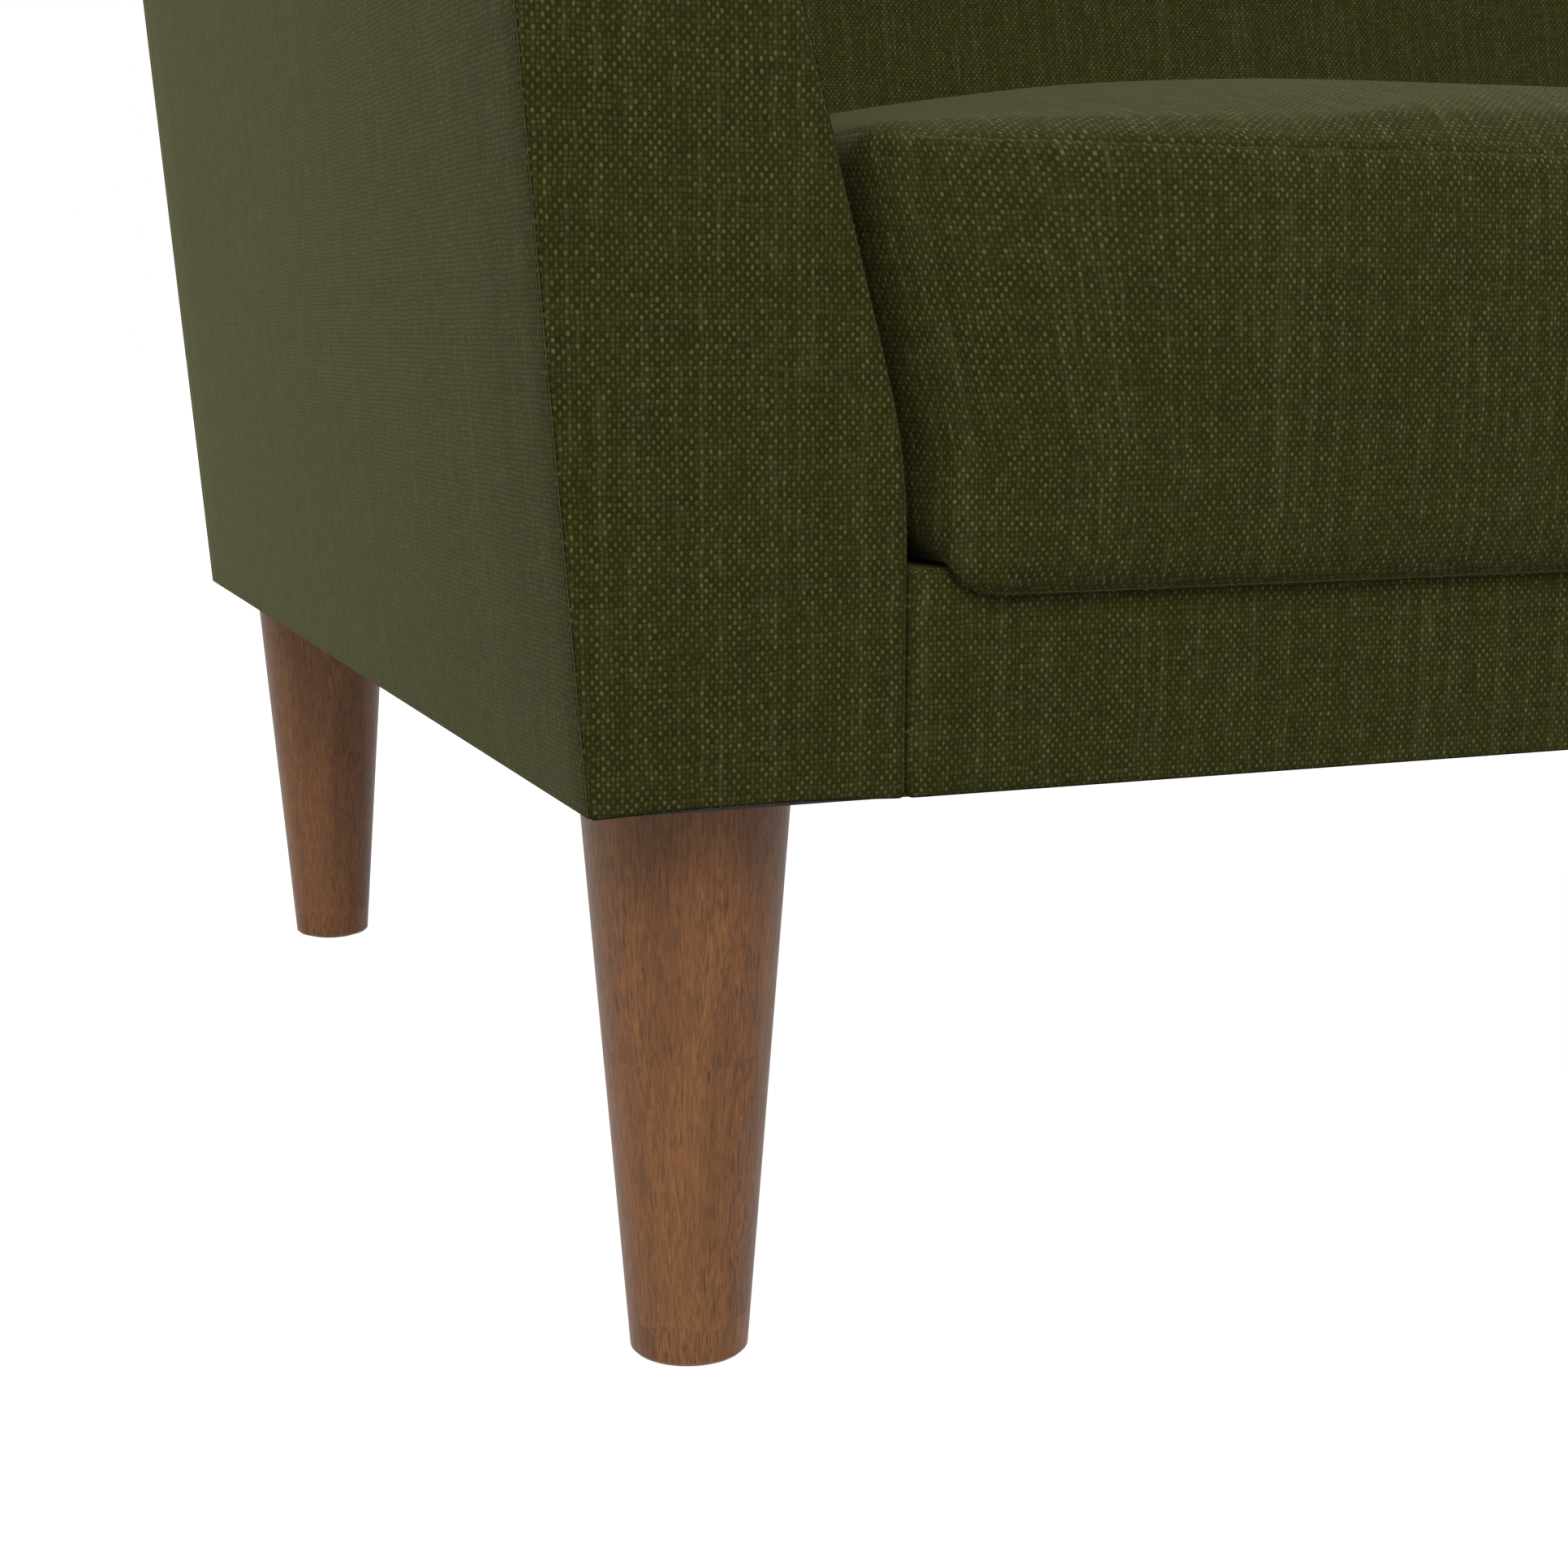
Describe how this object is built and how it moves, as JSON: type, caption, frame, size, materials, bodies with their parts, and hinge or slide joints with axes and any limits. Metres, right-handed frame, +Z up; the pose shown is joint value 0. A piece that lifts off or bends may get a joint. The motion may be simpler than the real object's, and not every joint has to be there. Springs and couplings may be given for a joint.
{
  "type": "sofa with wooden legs",
  "caption": "Upholstered sofa with arms that flare outwards, a tight back, loose boxed seat cushions on a sprung deck, and round tapered wooden legs.",
  "frame": {"origin": "on the floor, under the centre of the sofa's box", "axes": "+Z up, +X from the left arm to the right arm as seen from the front, the sofa faces -Y"},
  "size_m": [1.9306, 0.802, 0.846],
  "materials": {
    "upholstery_fabric": "matt woven linen look, olive green",
    "foam": "open-cell foam and polyester fibre",
    "frame_timber": "planed, unfinished",
    "fibreboard": "smooth, unfinished",
    "zinc_plated_steel": "zinc plated",
    "spring_steel": "black oxide",
    "leg_wood": "satin walnut stain and lacquer",
    "glide_felt": "pressed felt",
    "webbing": "elastic woven webbing",
    "deck_cloth": "plain woven, dark",
    "dust_cloth": "non-woven, black",
    "zip_tape": "woven tape with a nylon coil",
    "zip_metal": "dark bronze paint"
  },
  "bodies": {
    "frame_and_upholstery": {"left_arm_side_cover": "upholstery_fabric", "right_arm_side_cover": "upholstery_fabric", "left_arm_front_cover": "upholstery_fabric", "right_arm_front_cover": "upholstery_fabric", "left_arm_inner_cover": "upholstery_fabric", "right_arm_inner_cover": "upholstery_fabric", "front_rail_cover": "upholstery_fabric", "inside_back_cover": "upholstery_fabric", "outside_back_cover": "upholstery_fabric", "left_arm_padding": "foam", "right_arm_padding": "foam", "front_rail_padding": "foam", "deck_pad": "foam", "back_foam": "foam", "front_rail_board": "frame_timber", "left_side_rail": "frame_timber", "right_side_rail": "frame_timber", "rear_seat_rail": "frame_timber", "rear_bottom_rail": "frame_timber", "centre_stretcher": "frame_timber", "corner_blocks": "frame_timber", "left_arm_base_board": "frame_timber", "right_arm_base_board": "frame_timber", "left_arm_front_post": "frame_timber", "right_arm_front_post": "frame_timber", "left_arm_rear_post": "frame_timber", "right_arm_rear_post": "frame_timber", "left_arm_top_rail": "frame_timber", "right_arm_top_rail": "frame_timber", "left_arm_lower_rail": "frame_timber", "right_arm_lower_rail": "frame_timber", "left_back_upright": "frame_timber", "centre_back_upright": "frame_timber", "right_back_upright": "frame_timber", "back_top_rail": "frame_timber", "back_bottom_rails": "frame_timber", "left_arm_inner_board": "fibreboard", "right_arm_inner_board": "fibreboard", "arm_bolts": "zinc_plated_steel", "leg_plates": "zinc_plated_steel", "leg_plate_screws": "zinc_plated_steel", "hanger_bolts": "zinc_plated_steel", "seat_springs": "spring_steel", "spring_clips": "spring_steel", "front_left_leg": "leg_wood", "rear_left_leg": "leg_wood", "front_right_leg": "leg_wood", "rear_right_leg": "leg_wood", "leg_glides": "glide_felt", "back_webbing": "webbing", "deck_cloth": "deck_cloth", "dust_cover": "dust_cloth"},
    "left_seat_cushion": {"left_cushion_cover": "upholstery_fabric", "left_cushion_core": "foam", "left_cushion_zip": "zip_tape"},
    "right_seat_cushion": {"right_cushion_cover": "upholstery_fabric", "right_cushion_core": "foam", "right_cushion_zip": "zip_tape"},
    "left_slider": {"left_zip_slider": "zip_metal"},
    "right_slider": {"right_zip_slider": "zip_metal"}
  },
  "joints": [
    {"name": "left_cushion_lift", "type": "slide", "parent": "frame_and_upholstery", "child": "left_seat_cushion", "axis": [0, 0, 1], "range_m": [0, 0.3]},
    {"name": "right_cushion_lift", "type": "slide", "parent": "frame_and_upholstery", "child": "right_seat_cushion", "axis": [0, 0, 1], "range_m": [0, 0.3]},
    {"name": "left_zip_travel", "type": "slide", "parent": "left_seat_cushion", "child": "left_slider", "axis": [-1, 0, 0], "range_m": [0, 0.55]},
    {"name": "right_zip_travel", "type": "slide", "parent": "right_seat_cushion", "child": "right_slider", "axis": [1, 0, 0], "range_m": [0, 0.55]}
  ]
}
